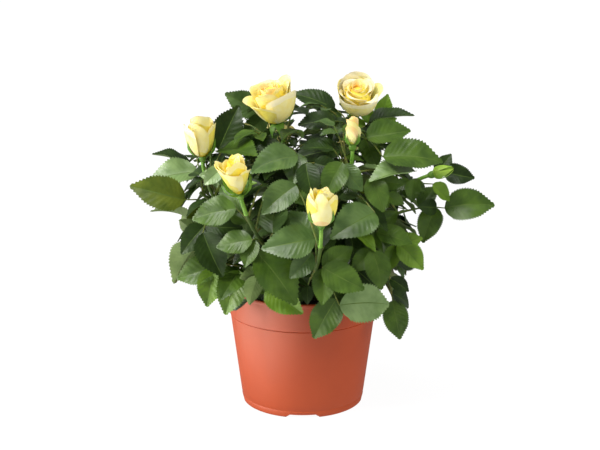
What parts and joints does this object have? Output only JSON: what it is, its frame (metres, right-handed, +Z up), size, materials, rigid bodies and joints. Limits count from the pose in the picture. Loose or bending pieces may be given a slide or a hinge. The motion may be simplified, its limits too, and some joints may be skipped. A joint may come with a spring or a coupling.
{
  "type": "potted miniature rose bush",
  "caption": "Compact rose bush with pale yellow blooms and buds and dense toothed leaves, in a round terracotta-coloured plastic nursery pot.",
  "frame": {"origin": "centre of the whole plant's bounding box at its bottom, level with the pot's flat underside", "axes": "+X to the right and +Z up as the plant is seen in its main view, which looks along +Y"},
  "size_m": [0.281, 0.2204, 0.27],
  "materials": {
    "pot": "satin",
    "soil": "matte",
    "wood": "matte",
    "leaf": "satin",
    "petal": "matte",
    "green_bud": "satin"
  },
  "bodies": {
    "root": {"pot": "pot", "soil": "soil", "stem_1": "wood", "stem_2": "wood", "stem_3": "wood", "stem_4": "wood", "stem_5": "wood", "bough_left": "wood", "foliage_left": "leaf", "bough_left_bud": "wood", "foliage_left_bud": "leaf", "bloom_left_bud": "petal", "bough_left_low": "wood", "foliage_left_low": "leaf", "bough_middle_bud": "wood", "foliage_middle_bud": "leaf", "bloom_middle_bud": "petal", "bough_front_left": "wood", "foliage_front_left": "leaf", "bough_front_bud": "wood", "foliage_front_bud": "leaf", "bloom_front_bud": "petal", "bough_front_low": "wood", "foliage_front_low": "leaf", "bough_small_bud": "wood", "foliage_small_bud": "leaf", "bloom_small_bud": "petal", "bough_right_low": "wood", "foliage_right_low": "leaf", "bough_right": "wood", "foliage_right": "leaf", "bough_right_bud": "wood", "foliage_right_bud": "leaf", "bloom_right_bud": "green_bud", "bough_right_bloom": "wood", "foliage_right_bloom": "leaf", "bloom_right_bloom": "petal", "bough_back_right": "wood", "foliage_back_right": "leaf", "bough_back_right_low": "wood", "foliage_back_right_low": "leaf", "bough_back_right_bud": "wood", "foliage_back_right_bud": "leaf", "bloom_back_right_bud": "petal", "bough_top_bloom": "wood", "foliage_top_bloom": "leaf", "bloom_top_bloom": "petal", "bough_back_bloom": "wood", "foliage_back_bloom": "leaf", "bloom_back_bloom": "petal", "bough_back_left": "wood", "foliage_back_left": "leaf", "bough_back_left_low": "wood", "foliage_back_left_low": "leaf"}
  },
  "joints": []
}
